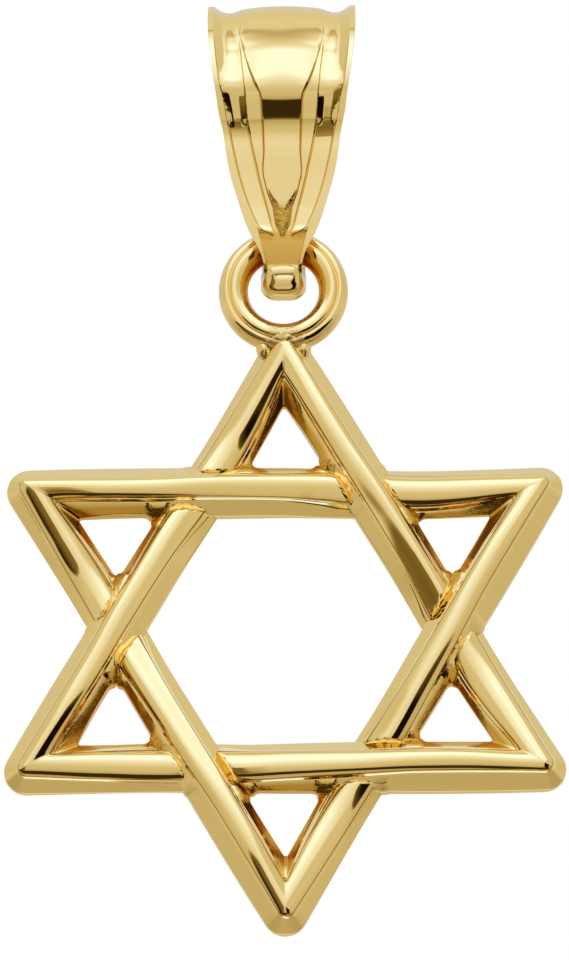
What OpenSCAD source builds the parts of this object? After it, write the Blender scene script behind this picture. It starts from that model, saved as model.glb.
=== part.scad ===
// Star charm: a six-pointed star of two interlaced triangles, hung by its ring in a fluted bail.
// Millimetres. +Z is up and the front faces -Y. The origin is where a chain lies in the top of the bail.

/* [Star] */
// Distance from the star's centre to the centre line of each bar
bar_offset = 3.88; // [3.4:0.1:5]
// Width of a bar at its flat back
bar_w = 1.4; // [1.2:0.02:1.7]
// Width of the polished bead along the front of a bar
bead_w = 0.7; // [0.5:0.02:0.8]
// Distance of the bead's middle from the bar's, towards the star's centre
bead_shift = 0; // [0:0.01:0.08]
// Height of the upright wall at the back of a bar
wall_h = 0.2; // [0.15:0.01:0.22]
// Mean height from the back of a bar to the foot of its bead
slab_h = 0.48; // [0.46:0.01:0.7]
// Rounding of the star's tips, seen from the front
tip_r = 0.6; // [0.5:0.02:0.7]
// Height of the bead above the slab
bead_h = 0.31; // [0.15:0.01:0.35]
// Rise and fall of a bar as it weaves over one neighbour and under the next
weave_h = 0.2; // [0.1:0.01:0.22]

/* [Ring] */
// Mean radius of the ring at the top tip
ring_r = 1.355; // [1.25:0.005:1.5]
// Thickness of the ring's wire
ring_wire = 0.8; // [0.7:0.02:0.9]
// Height of the ring's centre above the star's centre
ring_rise = 9.63; // [9.5:0.01:9.8]

/* [Bail] */
// Depth of the ring's centre below the place where the chain lies
bail_drop = 7.9; // [7.9:0.01:7.95]
// Rounding of the bail's inner edges
bail_edge = 0.19; // [0.1:0.01:0.2]

/* [Hidden] */

bar_length = 2 * sqrt(3) * bar_offset;
bar_slices = 18;
bar_back_y = 0.41;
tip_slice = 0.1;
bead_arc_steps = 8;
tip_scale = 0.99;
tip_inset = 0.005;
tip_radius = 2 * bar_offset;
star_z = -bail_drop - ring_rise;
solder_r = 0.26;
solder_x = 0.55;
solder_rise = 8;

// Rows round the loop of the bail: crest, down the front, under the eye and up the back.
// Columns: outer y, outer z, inner y, inner z, width, ridge (share of the half width), flute depth, crown
bail_rows = [
    [ 0.00,  0.40,  0.00,  0.00, 3.92, 0.55, 0.26, 0.00],
    [-1.48, -0.23, -1.25, -0.50, 3.94, 0.55, 0.26, 0.00],
    [-2.08, -1.55, -1.77, -1.60, 3.88, 0.55, 0.24, 0.00],
    [-1.88, -2.70, -1.60, -2.58, 3.62, 0.55, 0.20, 0.00],
    [-1.42, -3.34, -1.15, -3.18, 3.42, 0.50, 0.18, 0.00],
    [-1.22, -4.05, -0.91, -4.03, 3.20, 0.46, 0.18, 0.00],
    [-1.15, -4.80, -0.84, -4.78, 2.92, 0.42, 0.16, 0.00],
    [-1.05, -5.75, -0.73, -5.73, 2.38, 0.38, 0.16, 0.00],
    [-0.98, -6.55, -0.66, -6.55, 1.76, 0.25, 0.06, 0.00],
    [-0.88, -7.25, -0.60, -7.04, 1.12, 0.20, 0.00, 0.00],
    [-0.53, -7.86, -0.30, -7.23, 1.02, 0.20, 0.00, 0.16],
    [ 0.05, -8.13,  0.00, -7.24, 1.20, 0.20, 0.00, 0.30],
    [ 0.60, -7.80,  0.30, -7.18, 1.22, 0.20, 0.00, 0.20],
    [ 0.88, -7.05,  0.55, -6.92, 1.18, 0.20, 0.00, 0.06],
    [ 0.98, -6.10,  0.64, -6.10, 1.30, 0.30, 0.00, 0.00],
    [ 1.10, -4.90,  0.79, -4.88, 1.94, 0.50, 0.00, 0.00],
    [ 1.18, -4.00,  0.87, -3.98, 2.34, 0.52, 0.00, 0.00],
    [ 1.38, -3.30,  1.11, -3.14, 2.56, 0.55, 0.00, 0.00],
    [ 1.84, -2.68,  1.56, -2.56, 2.82, 0.55, 0.02, 0.00],
    [ 2.03, -1.55,  1.72, -1.60, 3.26, 0.55, 0.10, 0.00],
    [ 1.44, -0.23,  1.21, -0.50, 3.74, 0.55, 0.20, 0.00]
];
steps_per_row = 4;
flute_steps = 4;
rim_share = 0.95;
lobe_drop = 0.3;
bail_stations = len(bail_rows) * steps_per_row;

// Height of the foot of the bead at x along a bar, which is centred on x = 0
function slab_height(x) = slab_h - weave_h * sin(360 * x / bar_length);

// The bead's arc as points of distance across and height, from its outer foot to its inner foot
function bead_arc(h) = [for (i = [0 : bead_arc_steps]) let (a = 180 * i / bead_arc_steps)
    [bead_w / 2 * cos(a) - bead_shift, h + bead_h * sin(a)]];

// Outline of a bar's section, whose outer side is at positive distances across
function bar_outline(h) = concat(
    [[bar_w / 2, 0], [bar_w / 2, wall_h]],
    bead_arc(h),
    [[-bar_w / 2, wall_h], [-bar_w / 2, 0]]
);

// One section of a bar as points in space
function bar_section(x) = [for (p = bar_outline(slab_height(x))) [x, bar_back_y - p.y, p.x]];

// Triangles that join one ring of n points, from point a on, to another, from point b on
function band(a, b, n) = [for (j = [0 : n - 1]) let (k = (j + 1) % n)
    each [[a + j, a + k, b + k], [a + j, b + k, b + j]]];

// One woven bar, level, with its middle above the origin
module bar() {
    sections = [for (i = [0 : bar_slices]) bar_section(bar_length * (0.5 - i / bar_slices))];
    n = len(sections[0]);
    faces = [for (i = [0 : bar_slices - 1]) each band(i * n, (i + 1) * n, n)];
    first = [for (j = [n - 1 : -1 : 0]) j];
    last = [for (j = [0 : n - 1]) bar_slices * n + j];
    polyhedron([for (section = sections) each section], concat(faces, [first, last]), convexity = 6);
}

// The round end that two bars share at a tip, as seen along its own axis
module tip() {
    outer_flank = bar_w / 2 - bead_w / 2 + bead_shift;
    slab = [[0, 0], [tip_r, 0], [tip_r, wall_h], [tip_r - outer_flank, slab_h], [0, slab_h]];
    reach = 2 * (bar_offset + bar_w / 2 - tip_r) - tip_radius;
    hull() {
        translate([0, reach, 0]) rotate_extrude($fn = 32) polygon(slab);
        for (m = [0, 1]) mirror([m, 0, 0]) rotate([0, 0, -60]) rotate([90, 0, 90]) linear_extrude(tip_slice)
            polygon([for (p = bar_outline(slab_h)) if (p.y <= slab_h) p]);
    }
    translate([0, -2 * bead_shift, slab_h]) scale([1, 1, bead_h / (bead_w / 2)]) sphere(d = bead_w, $fn = 32);
}

module ring() {
    translate([0, 0, ring_rise]) rotate([90, 0, 0])
        rotate_extrude($fn = 48) translate([ring_r, 0]) circle(d = ring_wire, $fn = 16);
}

// Solder that fills the corners between the ring and the top tip
module solder() {
    for (side = [-1, 1]) hull() {
        translate([side * solder_x, 0, solder_rise]) sphere(solder_r, $fn = 12);
        translate([side * solder_x / 3, 0, solder_rise]) sphere(solder_r, $fn = 12);
    }
}

module star() color("gold") translate([0, 0, star_z]) {
    for (k = [0 : 5]) rotate([0, 60 * k, 0]) {
        translate([0, 0, bar_offset]) bar();
        translate([0, bar_back_y - tip_inset, tip_radius]) rotate([90, 0, 0]) scale(tip_scale) tip();
    }
    ring();
    solder();
}

// A smooth closed curve through the rows, where t counts rows
function bail_row(t) = let (
    n = len(bail_rows),
    i = floor(t),
    f = t - i,
    a = bail_rows[(i - 1 + n) % n],
    b = bail_rows[i % n],
    c = bail_rows[(i + 1) % n],
    d = bail_rows[(i + 2) % n]
) b + 0.5 * f * (c - a + f * (2 * a - 5 * b + 4 * c - d + f * (3 * (b - c) + d - a)));

// How far the face of the strap lies below its highest line at a share u of the half width
function relief(u, ridge, flute, crown) = crown * pow(u, 4) + (u >= rim_share ? 0
    : u >= ridge ? flute * sin(180 * (u - ridge) / (rim_share - ridge))
    : flute * lobe_drop * pow(u / ridge, 2) * (1 - pow(u / ridge, 6)));

// Shares of the half width at which a section has points, from its middle to its edge
function section_shares(ridge) = concat(
    [0, ridge / 3, ridge * 2 / 3],
    [for (i = [0 : flute_steps]) ridge + (rim_share - ridge) * i / flute_steps],
    [1]
);

// One section of the bail's strap as points in space
function bail_section(t) = let (
    row = bail_row(t),
    outer = [0, row[0], row[1]],
    inner = [0, row[2], row[3]],
    inward = (inner - outer) / norm(inner - outer),
    half = row[4] / 2,
    shares = section_shares(row[5]),
    last = len(shares) - 1,
    right = [for (u = shares) [half * u, 0, 0] + outer + inward * relief(u, row[5], row[6], row[7])],
    left = [for (i = [last : -1 : 1]) [-right[i].x, right[i].y, right[i].z]],
    edge = inner - inward * bail_edge
) concat(
    left,
    right,
    [[half, 0, 0] + edge, [half - bail_edge, 0, 0] + inner, [bail_edge - half, 0, 0] + inner, [-half, 0, 0] + edge]
);

module bail() color("goldenrod") {
    sections = [for (s = [0 : bail_stations - 1]) bail_section(s / steps_per_row)];
    n = len(sections[0]);
    points = [for (section = sections) each section];
    faces = [for (s = [0 : bail_stations - 1]) each band(s * n, (s + 1) % bail_stations * n, n)];
    polyhedron(points, faces, convexity = 6);
}

bail();
star();
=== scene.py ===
"""Star charm: a woven six-pointed star on a ring, hung in a fluted bail, on a pale studio stage.

All measures are in millimetres inside the makers below and become metres where a mesh is placed.
"""

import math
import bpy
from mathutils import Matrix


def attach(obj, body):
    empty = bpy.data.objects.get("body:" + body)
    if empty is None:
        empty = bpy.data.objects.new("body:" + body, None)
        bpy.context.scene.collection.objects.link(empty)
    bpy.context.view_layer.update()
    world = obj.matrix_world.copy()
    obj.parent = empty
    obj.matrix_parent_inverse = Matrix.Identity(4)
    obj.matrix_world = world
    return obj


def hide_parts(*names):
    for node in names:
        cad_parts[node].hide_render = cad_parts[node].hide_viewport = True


bl_info = {
    "name": "Star Charm",
    "version": (1, 0, 0),
    "blender": (4, 5, 0),
    "location": "3D View > Sidebar > Star Charm",
    "description": "Dresses the packed star charm in polished gold",
    "category": "Object",
}

import bpy
import numpy as np
from bpy.props import FloatProperty, FloatVectorProperty, PointerProperty
from mathutils import Matrix, Vector

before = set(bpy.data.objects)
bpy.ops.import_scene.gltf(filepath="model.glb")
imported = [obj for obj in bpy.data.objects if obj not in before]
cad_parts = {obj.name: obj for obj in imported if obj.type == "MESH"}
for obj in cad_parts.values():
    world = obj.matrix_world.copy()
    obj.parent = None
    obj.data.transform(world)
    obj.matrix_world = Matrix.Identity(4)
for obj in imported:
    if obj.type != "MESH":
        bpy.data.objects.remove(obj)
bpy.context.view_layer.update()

MM = 0.001

# The star: distance of a bar from its centre, the plane of its flat back and the height of its centre
BAR_OFFSET = 3.88
BACK_Y = 0.41
STAR_Z = -17.53
# Height of the ring's centre above the star's
RING_RISE = 9.63
# Distance along a bar from its middle to where another bar crosses it
CROSSING = 2 * math.sqrt(3) * BAR_OFFSET / 6
TAN30 = math.tan(math.radians(30))
# Height of the picture in pixels, and millimetres to a pixel in the plane of the star
FRAME_HEIGHT_PX = 960
PX = 0.0269
# Points nearer than this, in metres, are one point
SAME_PLACE = 1e-7

# Waves in random directions whose sum stands for the lumps of rough casting
NOISE_SEED = 7
NOISE_WAVES = 14
NOISE_SPREAD = 5


# Numbers and curves


def smooth(low, high, value):
    """A smooth step from 0 at low to 1 at high."""
    share = np.clip((value - low) / (high - low), 0.0, 1.0)
    return share * share * (3 - 2 * share)


def rounded(corners):
    """Points of a closed outline whose corners are (across, height, radius, steps)."""
    points = []
    count = len(corners)
    for i, (x, y, radius, steps) in enumerate(corners):
        here = np.array((x, y))
        if radius == 0:
            points.append(here)
            continue
        before = np.array(corners[i - 1][:2]) - here
        after = np.array(corners[(i + 1) % count][:2]) - here
        before /= np.linalg.norm(before)
        after /= np.linalg.norm(after)
        half = math.acos(np.clip(before @ after, -1, 1)) / 2
        reach = radius / math.tan(half)
        middle = before + after
        centre = here + middle / np.linalg.norm(middle) * radius / math.sin(half)
        start = here + before * reach - centre
        end = here + after * reach - centre
        sweep = math.pi - 2 * half
        for step in range(steps + 1):
            share = step / steps
            first = math.sin((1 - share) * sweep)
            last = math.sin(share * sweep)
            points.append(centre + (start * first + end * last) / math.sin(sweep))
    return np.array(points)


def cubic(first, last, first_slope, last_slope, gap, f):
    """A cubic curve from first to last across a gap, at a share f of it, with these slopes at its ends."""
    return (
        first * (2 * f**3 - 3 * f**2 + 1)
        + last * (3 * f**2 - 2 * f**3)
        + gap * first_slope * (f**3 - 2 * f**2 + f)
        + gap * last_slope * (f**3 - f**2)
    )


def closed_curve(rows, samples):
    """A closed curve with smooth curvature through the rows, sampled evenly between them."""
    count = len(rows)
    lengths = np.linalg.norm(np.roll(rows[:, :2], -1, 0) - rows[:, :2], axis=1)
    system = np.zeros((count, count))
    right = np.zeros_like(rows)
    for i in range(count):
        before, after = lengths[i - 1], lengths[i]
        system[i, i - 1] += 1 / before
        system[i, i] += 2 * (1 / before + 1 / after)
        system[i, (i + 1) % count] += 1 / after
        rise_before = (rows[i] - rows[i - 1]) / before
        rise_after = (rows[(i + 1) % count] - rows[i]) / after
        right[i] = 3 * (rise_before / before + rise_after / after)
    slopes = np.linalg.solve(system, right)
    curve = []
    for t in samples:
        i = int(t) % count
        f = t - int(t)
        k = (i + 1) % count
        curve.append(cubic(rows[i], rows[k], slopes[i], slopes[k], lengths[i], f))
    return np.array(curve)


def rough_noise(points, scale):
    """A repeatable lumpy value of about -1..1 for each point, with lumps about scale wide."""
    total = np.zeros(len(points))
    generator = np.random.default_rng(NOISE_SEED)
    for _ in range(NOISE_WAVES):
        direction = generator.normal(size=3)
        direction *= generator.uniform(0.6, 1.6) / np.linalg.norm(direction) / scale
        total += np.sin(points @ direction * 2 * math.pi + generator.uniform(0, 6.3))
    return total / NOISE_SPREAD


# Mesh handling


def only(obj):
    """Selects this object alone and makes it active."""
    if bpy.context.object and bpy.context.object.mode != "OBJECT":
        bpy.ops.object.mode_set(mode="OBJECT")
    bpy.ops.object.select_all(action="DESELECT")
    obj.select_set(True)
    bpy.context.view_layer.objects.active = obj
    return obj


def ring_of_sections(name, places, **masks):
    """A grid wrapped round into a closed ring of closed sections.

    Places are given by section, point and xyz in millimetres, and masks by section and point.
    """
    sections, points = places.shape[:2]
    bpy.ops.object.select_all(action="DESELECT")
    bpy.ops.mesh.primitive_grid_add(x_subdivisions=points, y_subdivisions=sections, size=1)
    obj = bpy.context.object
    obj.name = name
    obj.data.name = name
    flat = np.empty(len(obj.data.vertices) * 3, np.float32)
    obj.data.vertices.foreach_get("co", flat)
    flat = flat.reshape(-1, 3)
    point = np.rint((flat[:, 0] + 0.5) * points).astype(int) % points
    section = np.rint((flat[:, 1] + 0.5) * sections).astype(int) % sections
    move_points(obj, places[section, point])
    obj.data.update()
    for mask, values in masks.items():
        store(obj, mask, values[section, point])
    outward(obj)
    return obj


def outward(obj):
    """Turns the faces of a closed mesh outwards."""
    only(obj)
    bpy.ops.object.mode_set(mode="EDIT")
    bpy.ops.mesh.select_all(action="SELECT")
    bpy.ops.mesh.remove_doubles(threshold=SAME_PLACE)
    bpy.ops.mesh.normals_make_consistent(inside=False)
    bpy.ops.object.mode_set(mode="OBJECT")
    return obj


def settle(obj):
    """Moves an object's place, turn and scale into its mesh."""
    only(obj)
    bpy.ops.object.transform_apply(location=True, rotation=True, scale=True)
    return obj


def weld(obj, others):
    """Unites the other closed meshes with this one and removes them."""
    for other in others:
        only(obj)
        union = obj.modifiers.new("weld", "BOOLEAN")
        union.operation = "UNION"
        union.solver = "MANIFOLD"
        union.object = other
        bpy.ops.object.modifier_apply(modifier=union.name)
        bpy.data.objects.remove(other)
    return obj


def finish_surface(obj, angle):
    """Shades the mesh smooth, apart from edges steeper than the angle."""
    only(obj)
    bpy.ops.object.shade_smooth_by_angle(angle=angle)
    return obj


def store(obj, name, values):
    """Keeps one number for each vertex, for the material to read."""
    layer = obj.data.attributes.get(name) or obj.data.attributes.new(name, "FLOAT", "POINT")
    layer.data.foreach_set("value", values.astype(np.float32))


def in_mm(length):
    """A setting's length in millimetres, without the rounding error of its storage."""
    return round(length / MM, 5)


def move_points(obj, places):
    """Puts the vertices of a mesh at places in millimetres."""
    obj.data.vertices.foreach_set("co", (places * MM).astype(np.float32).ravel())


def places_of(obj):
    """The vertices of a mesh in millimetres."""
    flat = np.empty(len(obj.data.vertices) * 3, np.float32)
    obj.data.vertices.foreach_get("co", flat)
    return flat.reshape(-1, 3).astype(float) / MM


# The star


# The edges of a bar's section along it, over its neighbour at -3.4 and under the other at 3.6
# Columns: along, the outer wall's distance across, then across and height of the outer flank's top,
# the dome's outer edge, the dome's inner edge and the inner flank's top, and the inner wall's distance across
BAR_ROWS = np.array([
    (-6.72, 0.689, 0.370, 0.57, 0.305, 0.71, -0.250, 0.72, -0.35, 0.56, -0.67),
    (-5.00, 0.73, 0.360, 0.65, 0.290, 0.82, -0.245, 0.86, -0.38, 0.64, -0.63),
    (-3.40, 0.73, 0.365, 0.66, 0.295, 0.83, -0.260, 0.86, -0.39, 0.65, -0.63),
    (-2.00, 0.71, 0.430, 0.62, 0.355, 0.80, -0.260, 0.82, -0.35, 0.64, -0.67),
    (0.00, 0.69, 0.490, 0.52, 0.425, 0.67, -0.275, 0.72, -0.36, 0.55, -0.66),
    (1.00, 0.67, 0.505, 0.45, 0.450, 0.58, -0.315, 0.61, -0.43, 0.38, -0.68),
    (1.70, 0.66, 0.490, 0.39, 0.430, 0.51, -0.335, 0.55, -0.545, 0.27, -0.70),
    (3.60, 0.63, 0.440, 0.31, 0.365, 0.42, -0.420, 0.44, -0.60, 0.25, -0.73),
    (5.00, 0.65, 0.410, 0.40, 0.345, 0.53, -0.380, 0.54, -0.53, 0.30, -0.71),
    (6.72, 0.689, 0.370, 0.57, 0.305, 0.71, -0.250, 0.72, -0.35, 0.56, -0.67),
])
# Height that a bar's flank loses for each millimetre towards its wall
FLANK_FALL = math.tan(math.radians(46))
# The places along a bar where its rows stand for its lowest part and for its tip
LOW_PLACE = 3.6
TIP_PLACE = 6.72
# How much fuller each bar's bead is on its outer side, from the top bar clockwise
BAR_LEANS = [0.16, 0.30, 0.12, 0.12, 0.32, 0.16]
# The places along a bar between which that fullness comes and goes
LEAN_RISE = (-4.4, -1.2)
LEAN_FALL = (3.3, 1.2)
# The dome in the middle of a bar is an arc with this slope at its edges
DOME_STEPS = 22
DOME_SLOPE = math.radians(43)
# Rounding of the edges at a bar's back, and the distance to the points that keep the back flat
BACK_ROUND = 0.07
BACK_SUPPORT = 0.05
# The bend from wall to flank: its reach down the wall and up the flank, and its supporting points
BEND_DOWN = 0.025
BEND_UP = 0.03
BEND_SUPPORT_DOWN = 0.006
BEND_SUPPORT_UP = 0.02
# Points of a section from the middle of its back to the flank's top
SIDE_POINTS = 15
# Points of the shoulder between the flank's top and the dome, as shares of its width
SHOULDER_SHARES = (0.09, 0.20, 0.48, 0.54, 0.60, 0.82, 0.93)
# Rounding of the lines along a bar where they turn at its tip: less than their distance across,
# at least a little, and the same for all the lines that turn at the hole's corner
TIP_ROUND_LOSS = 0.085
LEAST_TIP_ROUND = 0.03
HOLE_SIDE = -0.4
HOLE_TIP_ROUND = 0.07
TIP_STEPS = 6
TIP_STEP = 10
# Places along half a bar between which its sections are spread evenly, and how many lie in each stretch
SLANTED_STATIONS = (1.15, 1.75, 2.65, 3.30)
LAST_STATION = 4.6
STATION_COUNTS = (13, 13, 9, 14, 14, 16)
# The holes' corners on each side of a bar, the nearer to its middle first
# Columns: distance from the bar's middle, angle of the corner, rounding of the web in it
INNER_CORNERS = ((1.836, 120, 0.06), (3.452, 60, 0.20))
OUTER_CORNERS = ((1.028, 60, 0.20), (2.644, 120, 0.26))
WEB_FADE = (-0.45, -0.1)
# A bar that passes under another loses its raised parts at these distances from the crossing's
# middle, before and beyond it, and they round down over this length
UNDER_BEFORE = 0.54
UNDER_BEYOND = 0.46
UNDER_ROUND = 0.10
# How rough the casting is under a crossing and in the holes' corners, and the size of its lumps
CROSSING_ROUGHNESS = 0.45
CORNER_ROUGHNESS = 0.4
CAST_LUMPS = 0.16
CAST_RELIEF = 0.006
# A value of the shade mask beyond 1 paints a dark crease: painted shade in the fine lines along the bars and
# the bail's face
CREASE_SHADE = 2.0


def between(rows, place):
    """Values of a table at any place, eased between its rows as if the table repeated."""
    keys = rows[:, 0]
    period = keys[-1] - keys[0]
    wider = np.concatenate([rows[-2:-1], rows, rows[1:2]])
    wider[0, 0] -= period
    wider[-1, 0] += period
    slopes = ((wider[2:, 1:] - wider[:-2, 1:]) / (wider[2:, :1] - wider[:-2, :1]))
    i = np.clip(np.searchsorted(keys, place, side="right") - 1, 0, len(keys) - 2)
    gap = keys[i + 1] - keys[i]
    f = ((place - keys[i]) / gap)[..., None]
    return cubic(rows[i, 1:], rows[i + 1, 1:], slopes[i], slopes[i + 1], gap[..., None], f)


def bar_side(wall, top, edge, sign, edge_line, middle_line):
    """One side of a bar's section: round its back edge, up the wall and the flank and over the shoulder.

    The side is outer for a sign of 1 and inner for -1. Fine lines of two depths run along the
    shoulder's edges and its middle. Each point comes with the share by which it belongs to the wall.
    """
    outward_way = np.array((sign, 0.0))
    lowest_bend = BACK_ROUND + BACK_SUPPORT
    corner = np.stack([wall, np.full(wall.shape, BACK_ROUND)], axis=-1)
    points = [(corner - outward_way * lowest_bend - [0, BACK_ROUND], 1.0)]
    for step in range(4):
        turn = math.radians(30 * step)
        aside = outward_way * BACK_ROUND * (math.sin(turn) - 1)
        points.append((corner + aside - [0, BACK_ROUND * math.cos(turn)], 1.0))
    bend_height = np.maximum(top[..., 1] - FLANK_FALL * np.abs(wall - top[..., 0]), lowest_bend)
    bend = np.stack([wall, bend_height], axis=-1)
    foot = bend - [0, BEND_DOWN]
    slope = (top - bend) / np.linalg.norm(top - bend, axis=-1, keepdims=True)
    head = bend + slope * BEND_UP
    points.append(((corner + foot) / 2, 1.0))
    points.append((foot - [0, BEND_SUPPORT_DOWN], 1.0))
    for step in range(5):
        f = step / 4
        points.append((foot * (1 - f) ** 2 + bend * 2 * f * (1 - f) + head * f**2, 1 - 0.2 * f))
    points.append((head + slope * BEND_SUPPORT_UP, 0.75))
    points.append(((head + top) / 2, 0.4))
    points.append((top, 0.0))
    way = edge - top
    length = np.linalg.norm(way, axis=-1, keepdims=True)
    normal = np.stack([sign * way[..., 1], -sign * way[..., 0]], axis=-1) / length
    depths = (edge_line, 0.0, 0.0, middle_line, 0.0, 0.0, edge_line)
    for share, depth in zip(SHOULDER_SHARES, depths):
        points.append((top + way * share - normal * depth, 0.0))
    return points


def bar_section(values, lines, lean=0.0):
    """A bar's section round from the middle of its back, and how much each point belongs to the wall."""
    edge_line, middle_line = lines
    edges = [values[..., 2 * k + 1:2 * k + 3] for k in range(4)]
    outer_side = bar_side(values[..., 0], edges[0], edges[1], 1, edge_line, 0.0)
    inner_side = bar_side(values[..., 9], edges[3], edges[2], -1, edge_line, middle_line)
    dome = []
    half = (edges[1][..., :1] - edges[2][..., :1]) / 2
    for step in range(DOME_STEPS + 1):
        turn = DOME_SLOPE * (1 - 2 * step / DOME_STEPS)
        share = (1 + math.sin(turn) / math.sin(DOME_SLOPE)) / 2
        aside = 2 * share - 1
        arc = (math.cos(turn) - math.cos(DOME_SLOPE)) / math.sin(DOME_SLOPE)
        rise = half * (arc + lean * (aside - aside**3))
        chord = edges[2] + (edges[1] - edges[2]) * share
        dome.append((chord + rise * np.array((0.0, 1.0)), 0.0))
    back = (np.zeros_like(edges[0]), 0.0)
    points = [back] + outer_side + dome + inner_side[::-1]
    return np.stack([point for point, _ in points], axis=-2), np.array([share for _, share in points])


def bar_stations(across):
    """Places along half a bar, from its middle round the tip to the mitre, for one distance across."""
    corner = math.sqrt(3) * (BAR_OFFSET + across)
    radius = max(LEAST_TIP_ROUND, across - TIP_ROUND_LOSS) if across > HOLE_SIDE else HOLE_TIP_ROUND
    start = corner - radius * math.sqrt(3)
    slant = -TAN30 * across
    keys = [0, *[key + slant for key in SLANTED_STATIONS], LAST_STATION, start]
    along = [0.0]
    for low, high, count in zip(keys, keys[1:], STATION_COUNTS):
        along += list(low + (high - low) * np.arange(1, count + 1) / count)
    places = [(x, 0.0) for x in along]
    for step in range(1, TIP_STEPS + 1):
        turn = math.radians(TIP_STEP * step)
        places.append((start + radius * math.sin(turn), -radius * (1 - math.cos(turn))))
    return places


def web(gap, hole_angle, radius):
    """How far a bar's edge swells into a hole at a distance from the hole's corner."""
    half = math.radians(hole_angle / 2)
    reach = radius / math.tan(half)
    turn = math.pi / 2 - half
    inside = np.clip(reach - gap, 0, radius * math.sin(turn))
    swell = radius - np.sqrt(radius**2 - inside**2)
    return swell * smooth(*WEB_FADE, gap)


def webs(size, corners):
    """The webs in both corners of the holes on one side of a bar, by the distance from its middle."""
    (near, near_angle, near_round), (far, far_angle, far_round) = corners
    return web(near - size, near_angle, near_round) + web(size - far, far_angle, far_round)


def woven_bar(leaning, lines):
    """One bar as sections of points (along, across, height), with how rough each is and how much painted
    shade it gets.
    """
    tip, wall_share = bar_section(BAR_ROWS[0, 1:], lines)
    count = len(tip)
    halves = np.array([bar_stations(across) for across, _ in tip])
    along = np.concatenate([-halves[:, :0:-1, 0], halves[:, :, 0]], axis=1).T
    pulled = np.concatenate([halves[:, :0:-1, 1], halves[:, :, 1]], axis=1).T
    size = np.abs(along)
    corner = math.sqrt(3) * (BAR_OFFSET + tip[:, 0])
    toward_tip = LOW_PLACE + (size - LOW_PLACE) * (TIP_PLACE - LOW_PLACE) / (corner - LOW_PLACE)
    place = np.sign(along) * np.where(size < LOW_PLACE, size, np.minimum(toward_tip, TIP_PLACE))
    across = np.empty_like(along)
    height = np.empty_like(along)
    base = np.empty_like(along)
    for j in range(count):
        values = between(BAR_ROWS, place[:, j])
        lean = leaning * smooth(*LEAN_RISE, place[:, j]) * smooth(*LEAN_FALL, place[:, j])
        points, _ = bar_section(values, lines, lean[:, None])
        across[:, j], height[:, j] = points[:, j, 0], points[:, j, 1]
        share = (across[:, j] - values[:, 7]) / (values[:, 1] - values[:, 7])
        base[:, j] = values[:, 8] + (values[:, 2] - values[:, 8]) * share
    index = np.arange(count)
    shoulder_end = SIDE_POINTS + len(SHOULDER_SHARES)
    raised = (index > SIDE_POINTS) & (index < count - SIDE_POINTS)
    outer = (index > 0) & (index <= shoulder_end)
    inner = index >= count - shoulder_end
    lap = math.cos(math.radians(30)) * (along - CROSSING) + 0.5 * across
    near = np.clip((-lap - UNDER_BEFORE) / UNDER_ROUND, 0, 1)
    far = np.clip((lap - UNDER_BEYOND) / UNDER_ROUND, 0, 1)
    keep = np.where(lap < 0, np.sqrt(1 - (1 - near) ** 2), np.sqrt(1 - (1 - far) ** 2))
    height = np.where(raised, base + (height - base) * keep, height)
    swell = np.where(outer, webs(size, OUTER_CORNERS), np.where(inner, -webs(size, INNER_CORNERS), 0.0))
    walled = np.where(outer | inner, wall_share, 0.0)
    shifted = across + pulled + swell * walled
    under = (1 - keep) * smooth(0.95, 0.75, np.abs(lap)) * smooth(0.1, 0.25, height)
    upper = smooth(0.1, 0.3, height) * (outer | inner)
    fillet = smooth(0.002, 0.02, np.abs(swell)) * upper * (walled > 0)
    cast = np.clip(np.maximum(under * CROSSING_ROUGHNESS, fillet * CORNER_ROUGHNESS), 0, 1)
    # Painted shade: the walls in the small holes get warm painted shade, and the fine lines beside each bead
    # dark painted creases
    small_hole = np.where(outer, smooth(1.35, 1.1, size), smooth(3.1, 3.4, size))
    hollow = small_hole * smooth(0.0, 0.2, walled) * smooth(0.0, 0.05, height)
    creases = [SIDE_POINTS + 1, shoulder_end - 1, count - shoulder_end + 1, count - SIDE_POINTS - 1]
    hollow[:, creases] = CREASE_SHADE
    return np.stack([along, shifted, height], axis=2), cast, hollow


def triangle(name, turned, lines):
    """Three woven bars that meet in mitred tips, as one closed ring of sections."""
    sections, casts, hollows = [], [], []
    for k in range(3):
        bar, cast, hollow = woven_bar(BAR_LEANS[(2 * k + turned // 60) % 6], lines)
        turn = math.radians(120 * k + turned)
        along, up, height = bar[:-1, :, 0], bar[:-1, :, 1] + BAR_OFFSET, bar[:-1, :, 2]
        x = along * math.cos(turn) + up * math.sin(turn)
        z = -along * math.sin(turn) + up * math.cos(turn)
        sections.append(np.stack([x, BACK_Y - height, z + STAR_Z], axis=2))
        casts.append(cast[:-1])
        hollows.append(hollow[:-1])
    places = np.concatenate(sections)
    casts = np.concatenate(casts)
    lumps = rough_noise(places.reshape(-1, 3), CAST_LUMPS).reshape(casts.shape)
    places[:, :, 1] -= lumps * casts * CAST_RELIEF
    return ring_of_sections(name, places, cast=casts, hollow=np.concatenate(hollows))


# The outline of the ring's wire, with its fine line
# Columns: distance from the ring's centre, distance to the front, rounding, steps of the rounding
RING_CORNERS = [
    (1.755, 0.00, 0.10, 3),
    (1.725, 0.18, 0.12, 3),
    (1.620, 0.325, 0.16, 4),
    (1.510, 0.335, 0.03, 2),
    (1.475, 0.250, 0.01, 1),
    (1.440, 0.345, 0.03, 2),
    (1.390, 0.390, 0.06, 2),
    (1.300, 0.398, 0.15, 3),
    (1.180, 0.360, 0.06, 2),
    (1.040, 0.240, 0.10, 3),
    (0.958, 0.06, 0.15, 3),
    (0.970, -0.14, 0.15, 3),
    (1.100, -0.34, 0.15, 4),
    (1.355, -0.40, 0.20, 4),
    (1.610, -0.34, 0.15, 4),
    (1.735, -0.16, 0.12, 3),
]
RING_STEPS = 144
# Distance of the fine line from the ring's centre, and the half width of the painted shade along it
RING_LINE = 1.475
RING_LINE_HALF = 0.025
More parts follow.
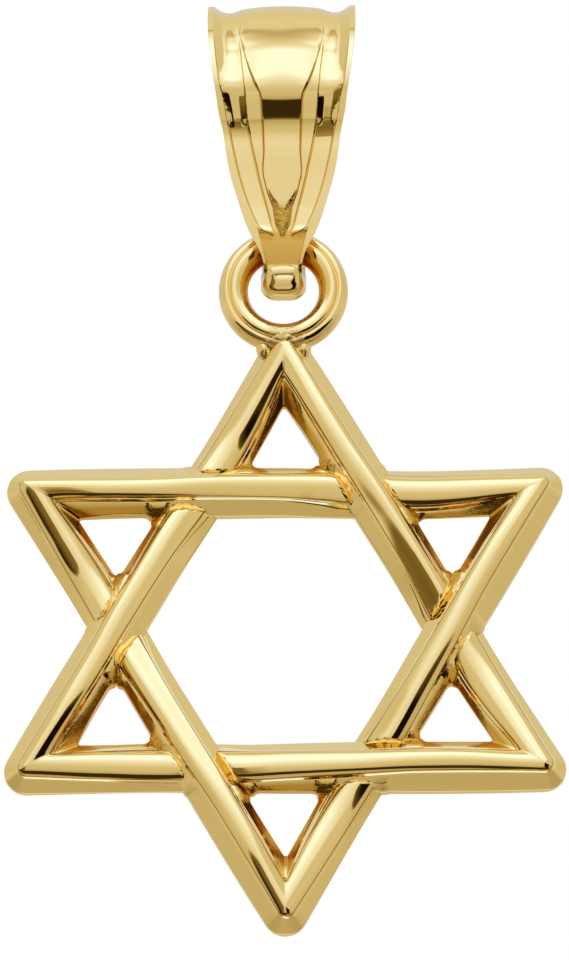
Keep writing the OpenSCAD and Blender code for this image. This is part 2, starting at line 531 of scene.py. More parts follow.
# Columns: x, height above the star's centre, distance to the front, radius, roughness, stretch
SOLDER_LUMPS = [
    (-0.53, 7.98, 0.02, 0.27, 0.5, (0.80, 0.75, 1.30)),
    (0.53, 7.98, 0.02, 0.27, 0.5, (0.80, 0.75, 1.30)),
    (0.0, 8.24, 0.16, 0.30, 0.8, (1.35, 0.8, 0.9)),
]
SOLDER_BULGE = 0.06
SOLDER_LUMP_WIDTH = 0.22


def ring():
    """The ring at the top tip: a flat-fronted band with a fine line along its outer side."""
    outline = rounded(RING_CORNERS)
    turns = np.arange(RING_STEPS) * 2 * math.pi / RING_STEPS
    radial, front = outline[:, 0], outline[:, 1]
    x = radial[None, :] * np.cos(turns)[:, None]
    z = radial[None, :] * np.sin(turns)[:, None] + STAR_Z + RING_RISE
    y = np.broadcast_to(-front, x.shape)
    chamfer = np.broadcast_to(smooth(1.20, 1.14, radial) * smooth(0.10, 0.22, front) * 0.8, x.shape)
    lowest = smooth(-0.90, -0.97, np.sin(turns))[:, None] * smooth(0.0, 0.1, front)[None, :]
    # Painted shade: warm painted shade on the ring's inner side, and a fainter band of it along the fine line
    groove = np.exp(-(((radial - RING_LINE) / RING_LINE_HALF) ** 2)) * (front > 0.2)
    hollow = np.broadcast_to(np.maximum(smooth(1.16, 1.04, radial), groove * 0.3), x.shape)
    places = np.stack([x, y, z], axis=2)
    return ring_of_sections("ring_band", places, cast=np.maximum(chamfer, lowest), hollow=hollow)


def solder():
    """The lumps of solder between the ring and the top tip."""
    lumps = []
    for x, rise, front, size, rough, stretch in SOLDER_LUMPS:
        bpy.ops.object.select_all(action="DESELECT")
        bpy.ops.mesh.primitive_ico_sphere_add(subdivisions=4, radius=size * MM)
        lump = bpy.context.object
        lump.scale = stretch
        lump.location = (x * MM, -front * MM, (STAR_Z + rise) * MM)
        settle(lump)
        places = places_of(lump)
        middle = np.array((x, -front, STAR_Z + rise))
        bulge = 1 + SOLDER_BULGE * rough * rough_noise(places, SOLDER_LUMP_WIDTH)
        move_points(lump, middle + (places - middle) * bulge[:, None])
        store(lump, "cast", np.full(len(places), rough))
        store(lump, "hollow", np.zeros(len(places)))
        lumps.append(lump)
    return lumps


# The bail


# Columns: outer y, outer z, inner y, inner z, half width, drop of the outer face at its sides
STRAP_ROWS = np.array([
    (0.00, 0.39, 0.00, 0.00, 1.98, 0.00),
    (-0.54, 0.28, -0.40, -0.06, 2.00, 0.00),
    (-1.03, -0.05, -0.78, -0.31, 2.01, 0.00),
    (-1.54, -0.83, -1.24, -1.00, 2.00, 0.00),
    (-1.85, -1.51, -1.52, -1.63, 1.94, 0.00),
    (-2.03, -2.15, -1.66, -2.22, 1.88, 0.00),
    (-2.07, -2.55, -1.69, -2.53, 1.83, 0.00),
    (-1.96, -2.97, -1.65, -2.78, 1.77, 0.00),
    (-1.79, -3.22, -1.51, -2.98, 1.74, 0.00),
    (-1.61, -3.47, -1.35, -3.27, 1.68, 0.00),
    (-1.46, -3.74, -1.19, -3.63, 1.61, 0.00),
    (-1.38, -4.21, -1.08, -4.16, 1.54, 0.00),
    (-1.29, -4.86, -0.98, -4.82, 1.43, 0.00),
    (-1.16, -5.78, -0.86, -5.74, 1.17, 0.00),
    (-1.04, -6.57, -0.73, -6.53, 0.88, 0.00),
    (-0.88, -7.25, -0.60, -7.04, 0.56, 0.00),
    (-0.53, -7.86, -0.30, -7.23, 0.53, 0.12),
    (0.05, -8.12, 0.00, -7.24, 0.60, 0.28),
    (0.60, -7.80, 0.30, -7.18, 0.61, 0.18),
    (0.88, -7.05, 0.55, -6.92, 0.59, 0.05),
    (0.98, -6.10, 0.64, -6.10, 0.65, 0.00),
    (1.10, -4.90, 0.79, -4.88, 0.97, 0.00),
    (1.18, -4.00, 0.87, -3.98, 1.17, 0.00),
    (1.38, -3.30, 1.11, -3.14, 1.28, 0.00),
    (1.83, -2.70, 1.56, -2.58, 1.41, 0.00),
    (2.02, -2.05, 1.72, -2.05, 1.55, 0.00),
    (1.90, -1.45, 1.61, -1.56, 1.66, 0.00),
    (1.56, -0.83, 1.29, -1.00, 1.80, 0.00),
    (1.03, -0.05, 0.79, -0.32, 1.93, 0.00),
    (0.54, 0.28, 0.40, -0.06, 1.97, 0.00),
])

# Lines of the face as half widths at each distance down it, both in PX
# Columns: down the face, lobe or inner side of a rib, outer side of the rib, outer side of the flute, rim
FACE_ROWS = np.array([
    (0, 40.0, 42.5, 69.0, 69.5),
    (25, 40.5, 42.5, 69.0, 69.5),
    (35, 39.5, 42.3, 68.5, 69.0),
    (50, 35.5, 40.5, 67.0, 67.5),
    (65, 31.0, 38.8, 65.0, 65.5),
    (80, 25.5, 37.8, 63.0, 63.5),
    (92, 20.5, 36.9, 60.5, 61.0),
    (100, 19.0, 36.5, 59.0, 59.5),
    (120, 17.8, 34.5, 55.5, 56.0),
    (150, 17.2, 28.5, 49.5, 50.0),
    (168, 18.6, 24.5, 45.5, 46.0),
    (175, 18.0, 23.2, 43.8, 44.3),
    (190, 14.5, 19.5, 39.6, 40.1),
    (205, 8.6, 15.5, 34.0, 34.6),
    (214, 7.4, 13.2, 30.4, 31.2),
    (224, 6.2, 10.8, 25.4, 27.0),
    (229, 4.0, 9.0, 21.0, 25.0),
    (232, 2.7, 7.8, 16.0, 24.0),
    (235, 2.4, 7.4, 8.0, 23.2),
    (270, 2.0, 5.0, 6.0, 14.8),
    (276, 2.0, 5.0, 6.0, 14.0),
    (400, 2.0, 5.0, 6.0, 14.0),
])
# Depths below the face's highest line in hundredths of a millimetre, by distance down the face
# Columns: down the face, sag of the lobe at its side, rib's inner side, rib's outer side, depth of the
# flute's bowl, rim
DEPTH_ROWS = np.array([
    (0, 8, 9, 10, 13, 0),
    (27, 12, 13, 14, 13, 0),
    (40, 16, 19, 20, 12, 4),
    (55, 16, 20, 21, 11, 8),
    (66, 11, 20.5, 21.5, 7, 13),
    (76, 5, 21.5, 22.5, 2, 17),
    (84, 2, 23, 23.5, 0.5, 19),
    (91, 1.5, 24, 24, 1, 20),
    (97, 1.5, 21.5, 21.5, 3, 18),
    (102, 1.5, 17.5, 17.5, 5, 14),
    (108, 1.5, 13, 13, 7, 8),
    (118, 1.5, 6, 6, 9, 1),
    (126, 1.5, 6, 6, 10, 0),
    (135, 1.5, 6, 6, 10.5, 0),
    (150, 1.5, 6.5, 6.5, 11, 0),
    (168, 1.5, 7, 7.5, 11, 0),
    (205, 1.5, 7, 7.5, 11, 0),
    (226, 4, 7, 7, 8, 0),
    (232, 6, 7, 7, 3, 0),
    (236, 7, 7, 7, 0, 0),
    (400, 7, 7, 7, 0, 0),
])
LOBE_CELLS = 12
RIB_CELLS = 5
FLUTE_CELLS = 20
PLATE_CELLS = 5
INNER_CELLS = 8
# Sections of the strap for each of its rows
STRAP_STEPS = 12
# Half width of the crest, in proportion to which the back's columns are spread
CREST_HALF = 2.0
# Gaps between the columns where the face steps down steeply, and the least width of the rim
LOBE_GAP = 0.03
RIB_GAP = 0.05
FLUTE_GAP = 0.01
RIM_BELOW = 0.008
RIM_ABOVE = 0.012
RIM_WIDTH = 0.06
EDGE_SUPPORT = 0.02
# Shares of a flute's width that its sides take up, low down where they are steep and higher up
STEEP_SIDE = 0.07
SLANTED_SIDE = 0.3
# The view from below in which distances down the face are measured, with the reach of the face
# in it and the depth of the eye from which it is counted
VIEW_COS = 0.94
VIEW_SIN = 0.342
FACE_REACH = 7.85
EYE_DROP = 7.9
LEAST_DOWN = 0.01
# Rows down the face, in PX, between which its parts come or go
SLANTED_ROWS = (126, 117)
ROUND_ROWS = (96, 90)
RECESS_START = (204.0, 210.0)
RECESS_STOP = (238, 234)
PLATE_START = (228, 233)
PLATE_STOP = (270, 267)
FLUTE_CAST_START = (227, 231)
FLUTE_CAST_STOP = (241, 236)
# Rows between which the face's creases get their dark painted shade
CREASE_START = (27, 40)
CREASE_STOP = (226, 220)
# The last row with a lobe and flutes, and the last where the rim lies low
LAST_RELIEF = 236
LAST_LOW_RIM = 200
# Rise in the middle of the recess's curved top, and its half width, in PX
RECESS_RISE = 5
RECESS_HALF = 8.4
# Middle of the rounding at the strap's inner edges
INNER_BEND = 0.06
# How dark the painted shade in the face's creases is beside that of the star
FACE_CREASE_SHADE = 0.85
# The lap on the eye: how square it is, its place, its dent and fold, how rough it is and how much warm
# painted shade it gets
LAP_POWER = 0.62
LAP_PLACE = (0, -0.60, -7.80)
DENT_HEIGHT = 0.09
DENT_ASIDE = 0.03
DENT_DEPTH = 0.04
FOLD_HEIGHT = -0.20
FOLD_DEPTH = 0.01
MARK_WIDTH = 0.04
LAP_CAST = 0.1
LAP_SHADE = 0.2


def face_columns(rows, half):
    """Half of the face's columns from its middle out, as distances to the side for each row down the face."""
    scale = np.where(rows > 0, 1.0, half / CREST_HALF) * PX
    lobe, rib, flute, rim = [np.interp(rows, FACE_ROWS[:, 0], FACE_ROWS[:, k]) * scale for k in range(1, 5)]
    rim = np.minimum(rim, half - RIM_WIDTH)
    flute = np.minimum(flute, rim - FLUTE_GAP)
    columns = [lobe * i / LOBE_CELLS for i in range(LOBE_CELLS + 1)]
    columns += [lobe + LOBE_GAP + (rib - lobe - RIB_GAP) * i / RIB_CELLS for i in range(RIB_CELLS + 1)]
    columns += [rib + (flute - rib) * i / FLUTE_CELLS for i in range(FLUTE_CELLS + 1)]
    columns += [flute + (rim - RIM_BELOW - flute) * i / PLATE_CELLS for i in range(1, PLATE_CELLS + 1)]
    columns += [rim + RIM_ABOVE, (rim + half) / 2, half - EDGE_SUPPORT, half]
    return np.stack(columns, axis=1)


def face_depths(rows, columns, plate_depth, recess_depth):
    """How far each column lies below the face's highest line, how rough it is and how much painted shade it
    gets.
    """
    levels = [np.interp(rows, DEPTH_ROWS[:, 0], DEPTH_ROWS[:, k]) / 100 for k in range(1, 6)]
    sag, rib_in, rib_out, bowl_depth, rim = levels
    slanting = smooth(*SLANTED_ROWS, rows)
    rounding = smooth(*ROUND_ROWS, rows)
    depth = np.zeros_like(columns)
    lobe_end = LOBE_CELLS + 1
    rib_end = lobe_end + RIB_CELLS + 1
    flute_end = rib_end + FLUTE_CELLS + 1
    plate_end = flute_end + PLATE_CELLS
    for j in range(flute_end):
        if j < lobe_end:
            depth[:, j] = sag * (j / LOBE_CELLS) ** 2
        elif j < rib_end:
            depth[:, j] = rib_in + (rib_out - rib_in) * (j - lobe_end) / RIB_CELLS
        else:
            share = (j - rib_end) / FLUTE_CELLS
            flat_way = min(1, share / STEEP_SIDE, (1 - share) / STEEP_SIDE)
            slant_way = min(1, share / SLANTED_SIDE, (1 - share) / SLANTED_SIDE)
            round_way = math.sin(math.pi * share)
            bowl = flat_way + (slant_way - flat_way) * slanting
            bowl = bowl + (round_way - bowl) * rounding
            depth[:, j] = rib_out * (1 - share) + rim * share + bowl_depth * bowl
    index = np.arange(columns.shape[1])[None, :]
    rows = rows[:, None]
    # The lobe ends in a recess with a curved top, above a sunk plate between the rims
    curved = rows + RECESS_RISE * (columns / PX / RECESS_HALF) ** 2
    tongue = smooth(*RECESS_START, curved) * smooth(*RECESS_STOP, rows)
    recess = tongue * (index < lobe_end)
    depth += recess * recess_depth
    plate = smooth(*PLATE_START, rows) * smooth(*PLATE_STOP, rows) * (index < plate_end)
    plain = plate_depth * plate + rim[:, None] * (rows < LAST_LOW_RIM)
    depth = np.where((rows > LAST_RELIEF) | (index >= flute_end), plain, depth)
    end = smooth(*FLUTE_CAST_START, rows) * smooth(*FLUTE_CAST_STOP, rows)
    end = end * (index < plate_end) * (index >= flute_end)
    # Painted shade: warm painted shade on the sunk plate and in the recess, and dark painted shade in the
    # creases between lobe, ribs and flutes
    hollow = np.maximum(plate * 0.75, recess * 0.6)
    creased = np.isin(index, (lobe_end, rib_end, flute_end - 1))
    dark = creased * smooth(*CREASE_START, rows) * smooth(*CREASE_STOP, rows) * CREASE_SHADE * FACE_CREASE_SHADE
    return depth, np.maximum(recess, end * 0.6), np.maximum(hollow, dark)


def strap(settings):
    """The bail's strap: a closed loop of sections with a lobe, ribs and flutes on its face."""
    inner_round = in_mm(settings.inner_round)
    stations = np.arange(len(STRAP_ROWS) * STRAP_STEPS) / STRAP_STEPS
    curve = closed_curve(STRAP_ROWS, stations)
    outer, inner, half, crown = curve[:, 0:2], curve[:, 2:4], curve[:, 4], curve[:, 5]
    inward = inner - outer
    inward /= np.linalg.norm(inward, axis=1)[:, None]
    # The relief of the face fades out behind the crest
    front = np.where(outer[:, 0] < 0, 1.0, smooth(1.9, 0.6, outer[:, 0]) * (outer[:, 1] > -2))
    seen = FACE_REACH - VIEW_COS * (outer[:, 1] + EYE_DROP) + VIEW_SIN * outer[:, 0]
    down = np.maximum(seen, LEAST_DOWN) / PX
    down = np.where(outer[:, 0] > 0.02, 0.0, down)
    columns = face_columns(down, half)
    plate_depth = in_mm(settings.plate_depth)
    recess_depth = in_mm(settings.recess_depth)
    depth, cast, hollow = face_depths(down, columns, plate_depth, recess_depth)
    depth = depth * front[:, None] + crown[:, None] * (columns / half[:, None]) ** 4
    side = np.concatenate([-columns[:, :0:-1], columns], axis=1)
    depth, cast, hollow = [np.concatenate([part[:, :0:-1], part], axis=1) for part in (depth, cast, hollow)]
    sections = []
    for i in range(len(stations)):
        face_points = [(side[i, j], *(outer[i] + inward[i] * depth[i, j])) for j in range(side.shape[1])]
        flat_half = half[i] - inner_round
        wall_points = [
            (half[i], *(inner[i] - inward[i] * inner_round)),
            (half[i] - INNER_BEND, *(inner[i] - inward[i] * INNER_BEND)),
            (flat_half, *inner[i]),
        ]
        across = [(x, *inner[i]) for x in np.linspace(flat_half, -flat_half, INNER_CELLS + 1)[1:-1]]
        mirrored = [(-x, y, z) for x, y, z in wall_points[::-1]]
        sections.append(face_points + wall_points + across + mirrored)
    places = np.array(sections)
    extra = places.shape[1] - side.shape[1]
    cast = np.concatenate([cast * front[:, None], np.zeros((len(stations), extra))], axis=1)
    # Painted shade: the strap's whole inner side gets full warm painted shade
    hollow = np.concatenate([hollow * front[:, None], np.ones((len(stations), extra))], axis=1)
    return ring_of_sections("strap", places, cast=cast, hollow=hollow)


def knob(settings):
    """The rounded lap of metal on the front of the bail's eye, with a dent across its upper half."""
    bpy.ops.object.select_all(action="DESELECT")
    bpy.ops.mesh.primitive_uv_sphere_add(segments=96, ring_count=64, radius=MM)
    lap = bpy.context.object
    unit = places_of(lap)
    size = np.array([in_mm(length) for length in settings.lap_size])
    places = np.sign(unit) * np.abs(unit) ** LAP_POWER * size
    front = smooth(0.0, -0.08, places[:, 1])
    dent = np.exp(-((places[:, 2] - DENT_HEIGHT) / MARK_WIDTH) ** 2)
    dent = dent * smooth(0.28, 0.16, np.abs(places[:, 0] - DENT_ASIDE))
    fold = np.exp(-((places[:, 2] - FOLD_HEIGHT) / MARK_WIDTH) ** 2)
    fold = fold * smooth(0.30, 0.16, np.abs(places[:, 0]))
    places[:, 1] += front * (dent * DENT_DEPTH + fold * FOLD_DEPTH)
    move_points(lap, places)
    lap.rotation_euler = (settings.lap_tilt, 0, 0)
    lap.location = [distance * MM for distance in LAP_PLACE]
    settle(lap)
    store(lap, "cast", np.full(len(places), LAP_CAST))
    store(lap, "hollow", np.full(len(places), LAP_SHADE))
    return lap


# Materials


# The grain of rough casting and the slow waves left by polishing: scales, and heights in metres
GRAIN_SCALE = 9000.0
WAVE_SCALE = 420.0
GRAIN_HEIGHT = 0.000022
WAVE_HEIGHT = 0.000006
# How much rougher than the polish the roughest casting is
CAST_ROUGHNESS = 0.30


class Signal:
    """A shader socket that takes part in Python expressions."""

    def __init__(self, board, socket):
        self.board = board
        self.socket = socket

    def maths(self, operation, first, second=0.0):
        """A number worked out from two numbers or sockets."""
        made = self.board.node("ShaderNodeMath", {"operation": operation}, {0: first, 1: second})
        return Signal(self.board, made.outputs[0])

    def __add__(self, other):
        return self.maths("ADD", self, other)

    def __sub__(self, other):
        return self.maths("SUBTRACT", self, other)

    def __rsub__(self, other):
        return self.maths("SUBTRACT", other, self)

    def __mul__(self, other):
        return self.maths("MULTIPLY", self, other)

    __radd__ = __add__
    __rmul__ = __mul__


class Board:
    """A node tree that is being wired."""

    def __init__(self, tree):
        self.tree = tree
        tree.nodes.clear()

    def node(self, kind, settings=None, sockets=None):
        """A new node with its settings, then the values or links of its sockets."""
        made = self.tree.nodes.new(kind)
        for name, value in (settings or {}).items():
            if name == "stops":
                self.set_stops(made.color_ramp, value)
            else:
                setattr(made, name, value)
        for name, value in (sockets or {}).items():
            self.feed(made.inputs[name], value)
        return made

    def signal(self, kind, settings=None, sockets=None, output=0):
        """One output of a new node."""
        return Signal(self, self.node(kind, settings, sockets).outputs[output])

    def set_stops(self, ramp, stops):
        while len(ramp.elements) < len(stops):
            ramp.elements.new(0.5)
        for element, (place, colour) in zip(ramp.elements, stops):
            element.position = place
            element.color = colour

    def feed(self, socket, value):
        if isinstance(value, Signal):
            value = value.socket
        if isinstance(value, bpy.types.NodeSocket):
            self.tree.links.new(value, socket)
        else:
            socket.default_value = value

    def step(self, value, low, high):
        """A smooth step from 0 at low to 1 at high."""
        return self.signal(
            "ShaderNodeMapRange",
            {"interpolation_type": "SMOOTHSTEP"},
            {"Value": value, "From Min": low, "From Max": high},
        )

    def profile(self, value, rows, top):
        """A number read from rows of (place, level) along a value, with levels up to top."""
        low, high = rows[0][0], rows[-1][0]
        stops = [((place - low) / (high - low), [level / top] * 3 + [1.0]) for place, level in rows]
        along = (value - low) * (1 / (high - low))
        return self.signal("ShaderNodeValToRGB", {"stops": stops}, {0: along}) * top

    def blend(self, factor, first, second):
        """A mix of two colours."""
        made = self.node("ShaderNodeMix", {"data_type": "RGBA"}, {0: factor, 6: first, 7: second})
        return Signal(self, made.outputs[2])


def gold(settings):
    """Polished yellow gold, grainy where the casting was left rough, with warm painted shade in its recesses
    and dark painted shade in its creases.
    """
    material = bpy.data.materials.new("polished_gold")
    material.use_nodes = True
    board = Board(material.node_tree)
    place = board.signal("ShaderNodeTexCoord", output="Object")
    cast = board.signal("ShaderNodeAttribute", {"attribute_name": "cast"}, output="Fac")
    hollow = board.signal("ShaderNodeAttribute", {"attribute_name": "hollow"}, output="Fac")
    grain = board.signal("ShaderNodeTexNoise", {}, {"Vector": place, "Scale": GRAIN_SCALE, "Detail": 3.0})
    waves = board.signal("ShaderNodeTexNoise", {}, {"Vector": place, "Scale": WAVE_SCALE, "Detail": 1.0})
    rough = cast.maths("MAXIMUM", cast, hollow * 0.35)
    # Painted shade: the shade and cast masks turn the gold towards a warmer, darker colour in recesses, holes
    # and rough spots
    colour = board.blend(
        board.step(cast * 0.35 + hollow * 0.9, 0.0, 1.0),
        (*settings.colour, 1.0),
        (*settings.hollow_shade_colour, 1.0),
    )
    # Painted shade: shade mask values beyond 1 turn the creases dark
    colour = board.blend(board.step(hollow, 0.9, 1.9), colour, (*settings.crease_shade_colour, 1.0))
    height = grain * (cast + hollow * 0.15) * GRAIN_HEIGHT + waves * WAVE_HEIGHT
    bump = board.node("ShaderNodeBump", {}, {"Height": height, "Strength": 1.0, "Distance": 1.0})
    shader = board.node(
        "ShaderNodeBsdfPrincipled",
        {},
        {
            "Base Color": colour,
            "Metallic": 1.0,
            "Roughness": rough * CAST_ROUGHNESS + settings.roughness,
            "Normal": bump.outputs[0],
        },
    )
    board.node("ShaderNodeOutputMaterial", {}, {"Surface": shader.outputs[0]})
    return material


# Settings


def length_setting(name, description, default):
    """A setting for a length, with its default in millimetres."""
    return FloatProperty(name=name, description=description, default=default * MM, unit="LENGTH")


def angle_setting(name, description, default):
    """A setting for an angle, with its default in degrees."""
    return FloatProperty(name=name, description=description, default=math.radians(default), subtype="ANGLE")


def colour_setting(name, description, default):
    """A setting for a colour."""
    return FloatVectorProperty(name=name, description=description, default=default, subtype="COLOR")


class StageSettings(bpy.types.PropertyGroup):
    floor_drop: length_setting("Floor drop", "Height of the floor below the origin", 125)
    floor_colour: colour_setting("Floor colour", "Colour of the plain floor", (0.9, 0.9, 0.9))
    azimuth: angle_setting("Azimuth", "Camera's turn to the right of the front", 0.94)
    elevation: angle_setting("Elevation", "Camera's height above the horizon", -20.2)
    distance: length_setting("Distance", "Distance from the camera to the charm", 230)


class GoldSettings(bpy.types.PropertyGroup):
    colour: colour_setting("Gold", "Colour of the polished gold", (1.0, 0.79, 0.36))
    # The hollow and crease colours are painted shade: warm in recesses and dark in creases
    hollow_shade_colour: colour_setting("Hollow gold", "Colour of the gold in its hollows", (0.82, 0.48, 0.085))
    crease_shade_colour: colour_setting("Crease gold", "Colour of the gold in its creases", (0.26, 0.15, 0.04))
    roughness: FloatProperty(
        name="Roughness",
        description="Roughness of the polish",
        default=0.045,
        min=0.0,
        max=1.0,
        subtype="FACTOR",
    )


class StarSettings(bpy.types.PropertyGroup):
    edge_line: length_setting("Edge lines", "Depth of the fine lines along a bar's shoulders", 0.03)
    middle_line: length_setting("Middle line", "Depth of the fine line on a bar's inner shoulder", 0.016)
    smooth_angle: angle_setting("Smooth angle", "Steepest edge of the star that is shaded smooth", 34)


class BailSettings(bpy.types.PropertyGroup):
    inner_round: length_setting("Inner rounding", "Rounding of the strap's inner edges", 0.19)
    plate_depth: length_setting("Plate depth", "Depth of the sunk plate on the neck", 0.07)
    recess_depth: length_setting("Recess depth", "Depth of the recess at the end of the lobe", 0.03)
    lap_size: FloatVectorProperty(
        name="Lap size",
        description="Half width, half depth and half height of the lap on the eye",
        default=(0.465 * MM, 0.25 * MM, 0.41 * MM),
        subtype="XYZ_LENGTH",
        unit="LENGTH",
    )
    lap_tilt: angle_setting("Lap tilt", "Turn of the lap out of the upright", 14)
    smooth_angle: angle_setting("Smooth angle", "Steepest edge of the bail that is shaded smooth", 30)


# Operators


def finish_piece(obj, name, body, node, settings):
    """Names a piece, makes it gold and lets it ride on its body in place of its CAD node."""
    obj.name = name
    obj.data.name = name
    material = bpy.data.materials.get("polished_gold") or gold(settings)
    obj.data.materials.clear()
    obj.data.materials.append(material)
    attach(obj, body)
    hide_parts(node)
    return obj


class STARCHARM_OT_star(bpy.types.Operator):
    """Make the woven star with its ring and solder"""

    bl_idname = "starcharm.star"
    bl_label = "Woven Star"

    def execute(self, context):
        settings = context.scene.starcharm_star
        lines = (in_mm(settings.edge_line), in_mm(settings.middle_line))
        star = triangle("woven_star", 0, lines)
        weld(star, [triangle("second_triangle", 60, lines), ring()] + solder())
        finish_surface(star, settings.smooth_angle)
        finish_piece(star, "woven_star", "star", "star", context.scene.starcharm_gold)
        return {"FINISHED"}


class STARCHARM_OT_bail(bpy.types.Operator):
    """Make the fluted bail"""

    bl_idname = "starcharm.bail"
    bl_label = "Fluted Bail"

    def execute(self, context):
        settings = context.scene.starcharm_bail
        bail = strap(settings)
        weld(bail, [knob(settings)])
        finish_surface(bail, settings.smooth_angle)
        finish_piece(bail, "fluted_bail", "bail", "bail", context.scene.starcharm_gold)
        return {"FINISHED"}


# The studio's tone by pitch, in degrees from straight ahead over the top, in the charm's middle plane
PITCH_TONES = [
    (-180, 0.62),
    (-126, 0.62),
    (-119, 1.00),
    (-104, 1.00),
    (-99, 0.56),
    (-66, 0.50),
    (-63, 0.04),
    (-47, 0.04),
    (-43, 0.50),
    (-30, 0.63),
    (-10, 0.67),
    (8, 0.80),
    (30, 0.94),
    (44, 1.10),
    (60, 1.10),
    (68, 0.80),
    (76.8, 0.48),
    (77.2, 0.76),
    (100, 0.72),
    (180, 0.66),
]
# The studio's tone by elevation at the sides
SIDE_TONES = [
    (-90, 0.50),
    (-30, 0.45),
    (-12, 0.60),
    (0, 0.68),
    (18, 0.63),
    (35, 0.66),
    (60, 0.70),
    (90, 0.76),
]
# The colour of the light by its tone: warm where it is dim, cool where it is bright
TONE_COLOURS = [
    (0.0, (0.0, 0.0, 0.0)),
    (0.01, (0.0075, 0.002, 0.0005)),
    (0.145, (0.145, 0.10, 0.03)),
    (0.275, (0.275, 0.19, 0.06)),
    (0.42, (0.42, 0.36, 0.20)),
    (0.55, (0.55, 0.49, 0.35)),
    (0.65, (0.65, 0.61, 0.47)),
    (0.75, (0.75, 0.73, 0.65)),
    (0.82, (0.82, 0.82, 0.85)),
    (1.0, (1.0, 1.17, 1.55)),
    (1.2, (1.2, 1.45, 2.1)),
]
# The highest tone in the two profiles, the highest with a colour of its own, and its highest colour
PROFILE_TOP = 1.25
TONE_TOP = 1.2
COLOUR_TOP = 2.1
SKY_TONE = 1.1
LOW_TONE = 0.04
CARD_TONE = 0.012
# The cards' lower limit in degrees, and how soft their slanting tops are
CARD_FOOT = (-44.0, -38.0)
CARD_BLUR = 0.8
# What multiplies the light from high up behind, which the back and the crest reflect
BEHIND_TINT = (0.98, 1.05, 1.42, 1.0)


def over(tone, cover, level):
    """A tone with another level over it where the cover is 1."""
    return tone * (1.0 - cover) + cover * level


def card(board, turn, rise, depth, first_edge, last_edge):
    """How far a dark card covers the studio: between two turns, below its slanting top, above its foot."""
    return (
        board.step(turn, *first_edge)
        * board.step(turn, *last_edge)
        * board.step(depth, -CARD_BLUR, CARD_BLUR)
        * board.step(rise, *CARD_FOOT)
    )


def studio_light(world):
    """A soft studio seen in the gold: bright sky, graded front, dark band low down and two side cards."""
    world.use_nodes = True
    board = Board(world.node_tree)
    ray = board.node("ShaderNodeTexCoord")
    parts = board.node("ShaderNodeSeparateXYZ", {}, {0: ray.outputs["Generated"]})
    x, y, z = [Signal(board, parts.outputs[i]) for i in range(3)]
    degrees = 180 / math.pi
    rise = z.maths("ARCSINE", z) * degrees
    turn = x.maths("ARCTAN2", x, y * -1.0) * degrees
    pitch = z.maths("ARCTAN2", z, y * -1.0) * degrees
    aside = x.maths("ABSOLUTE", x)
    middle = board.profile(pitch, PITCH_TONES, PROFILE_TOP)
    sides = board.profile(rise, SIDE_TONES, PROFILE_TOP)
    outer = board.step(aside, 0.28, 0.58)
    tone = over(middle, outer, sides)
    sky = board.step(y * -0.53 + z * 0.848, 0.766, 0.875) * outer
    tone = over(tone, sky, SKY_TONE)
    low = board.step(pitch, -66.0, -63.0) * board.step(pitch, -43.0, -47.0) * board.step(aside, 0.75, 0.65)
    tone = over(tone, low, LOW_TONE)
    left_depth = (turn + 9.0) * (20 / 53) + 5.0 - rise
    left = card(board, turn, rise, left_depth, (-67.0, -60.0), (-10.0, -13.5))
    tone = over(tone, left, CARD_TONE + board.step(turn, -60.0, -22.0) * 0.19)
    right_depth = (turn - 13.0) * -0.35 + 4.0 - rise
    right = card(board, turn, rise, right_depth, (10.0, 14.0), (58.0, 52.0))
    tone = over(tone, right, CARD_TONE + board.step(right_depth, 5.0, 0.0) * 0.10)
    stops = [(level / TONE_TOP, [c / COLOUR_TOP for c in colour] + [1.0]) for level, colour in TONE_COLOURS]
    colour = board.signal("ShaderNodeValToRGB", {"stops": stops}, {0: tone * (1 / TONE_TOP)})
    behind = board.step(y, 0.0, 0.6) * board.step(z, -0.1, 0.4)
    tinted = board.node(
        "ShaderNodeMix",
        {"data_type": "RGBA", "blend_type": "MULTIPLY"},
        {0: behind, 6: colour, 7: BEHIND_TINT},
    )
    lit = board.node("ShaderNodeBackground", {}, {"Color": tinted.outputs[2], "Strength": COLOUR_TOP})
    plain = board.node("ShaderNodeBackground", {}, {"Color": (1, 1, 1, 1), "Strength": 1.0})
    eye = board.node("ShaderNodeLightPath")
    both = board.node(
        "ShaderNodeMixShader", {}, {0: eye.outputs["Is Camera Ray"], 1: lit.outputs[0], 2: plain.outputs[0]}
    )
    board.node("ShaderNodeOutputWorld", {}, {"Surface": both.outputs[0]})


# The camera: height of the point it looks at in millimetres, its roll, the framing in pixels, the sensor
LOOK_AT_Z = -12.85
CAMERA_ROLL = math.radians(-0.23)
FRAME_UP_PX = 17.2
FRAME_LEFT_PX = 0.4
SENSOR = 36
NEAR_CLIP = 0.01
FAR_CLIP = 20
FLOOR_SIZE = 6
FLOOR_ROUGHNESS = 0.9


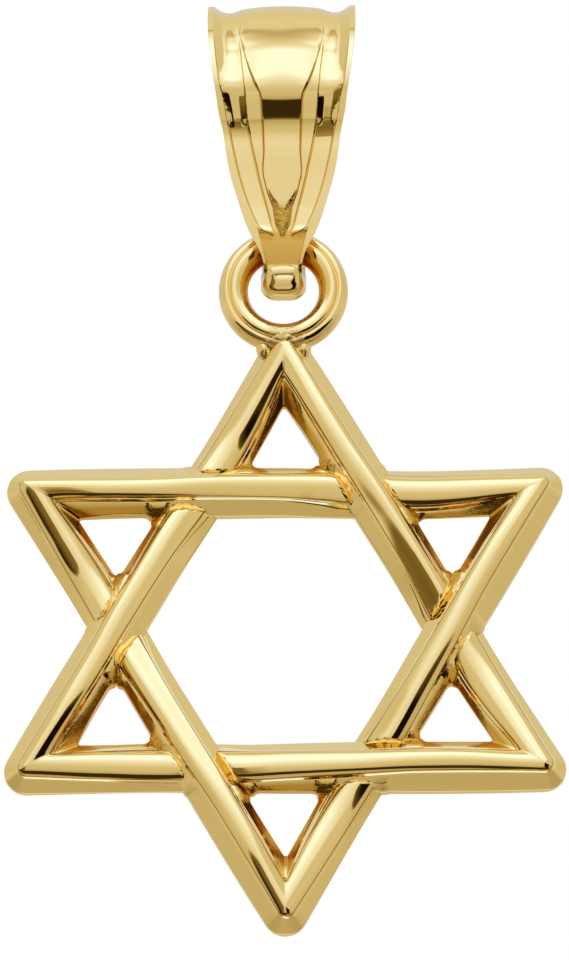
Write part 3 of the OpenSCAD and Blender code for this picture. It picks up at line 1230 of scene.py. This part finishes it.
class STARCHARM_OT_stage(bpy.types.Operator):
    """Set the camera, the studio light and the pale floor"""

    bl_idname = "starcharm.stage"
    bl_label = "Studio Stage"

    def execute(self, context):
        settings = context.scene.starcharm_stage
        scene = context.scene
        target = Vector((0, 0, LOOK_AT_Z)) * MM
        back = Vector((
            math.sin(settings.azimuth) * math.cos(settings.elevation),
            -math.cos(settings.azimuth) * math.cos(settings.elevation),
            math.sin(settings.elevation),
        ))
        right = Vector((0, 0, 1)).cross(back).normalized()
        up = back.cross(right)
        roll = Matrix.Rotation(CAMERA_ROLL, 3, back)
        right = roll @ right
        up = roll @ up
        target = target - up * FRAME_UP_PX * PX * MM + right * FRAME_LEFT_PX * PX * MM
        camera = bpy.data.objects.new("camera", bpy.data.cameras.new("camera"))
        scene.collection.objects.link(camera)
        turn = Matrix((right, up, back)).transposed().to_4x4()
        camera.matrix_world = Matrix.Translation(target + back * settings.distance) @ turn
        camera.data.sensor_width = SENSOR
        camera.data.sensor_fit = "AUTO"
        camera.data.lens = SENSOR * settings.distance / (FRAME_HEIGHT_PX * PX * MM)
        camera.data.clip_start = NEAR_CLIP
        camera.data.clip_end = FAR_CLIP
        scene.camera = camera

        bpy.ops.object.select_all(action="DESELECT")
        bpy.ops.mesh.primitive_plane_add(size=FLOOR_SIZE, location=(0, 0, -settings.floor_drop))
        floor = settle(bpy.context.object)
        floor.name = "floor"
        floor.visible_glossy = False
        material = bpy.data.materials.new("pale_floor")
        material.use_nodes = True
        board = Board(material.node_tree)
        shader = board.node(
            "ShaderNodeBsdfPrincipled",
            {},
            {"Base Color": (*settings.floor_colour, 1.0), "Roughness": FLOOR_ROUGHNESS},
        )
        board.node("ShaderNodeOutputMaterial", {}, {"Surface": shader.outputs[0]})
        floor.data.materials.append(material)

        world = bpy.data.worlds.new("studio")
        scene.world = world
        studio_light(world)
        scene.view_settings.view_transform = "Standard"
        return {"FINISHED"}


class STARCHARM_PT_panel(bpy.types.Panel):
    """The star charm's settings and makers"""

    bl_idname = "STARCHARM_PT_panel"
    bl_label = "Star Charm"
    bl_space_type = "VIEW_3D"
    bl_region_type = "UI"
    bl_category = "Star Charm"

    def draw(self, context):
        layout = self.layout
        for key, kind in SETTINGS.items():
            for name in kind.__annotations__:
                layout.prop(getattr(context.scene, key), name)
        for maker in MAKERS:
            layout.operator(maker.bl_idname)


SETTINGS = {
    "starcharm_stage": StageSettings,
    "starcharm_gold": GoldSettings,
    "starcharm_star": StarSettings,
    "starcharm_bail": BailSettings,
}
MAKERS = (STARCHARM_OT_stage, STARCHARM_OT_star, STARCHARM_OT_bail)


def register():
    for made in (*SETTINGS.values(), *MAKERS, STARCHARM_PT_panel):
        bpy.utils.register_class(made)
    for key, kind in SETTINGS.items():
        setattr(bpy.types.Scene, key, PointerProperty(type=kind))


def unregister():
    for key in SETTINGS:
        delattr(bpy.types.Scene, key)
    for made in (STARCHARM_PT_panel, *reversed(MAKERS), *reversed(SETTINGS.values())):
        bpy.utils.unregister_class(made)


def main():
    register()
    bpy.ops.starcharm.stage()
    bpy.ops.starcharm.star()
    bpy.ops.starcharm.bail()


if __name__ == "__main__":
    main()
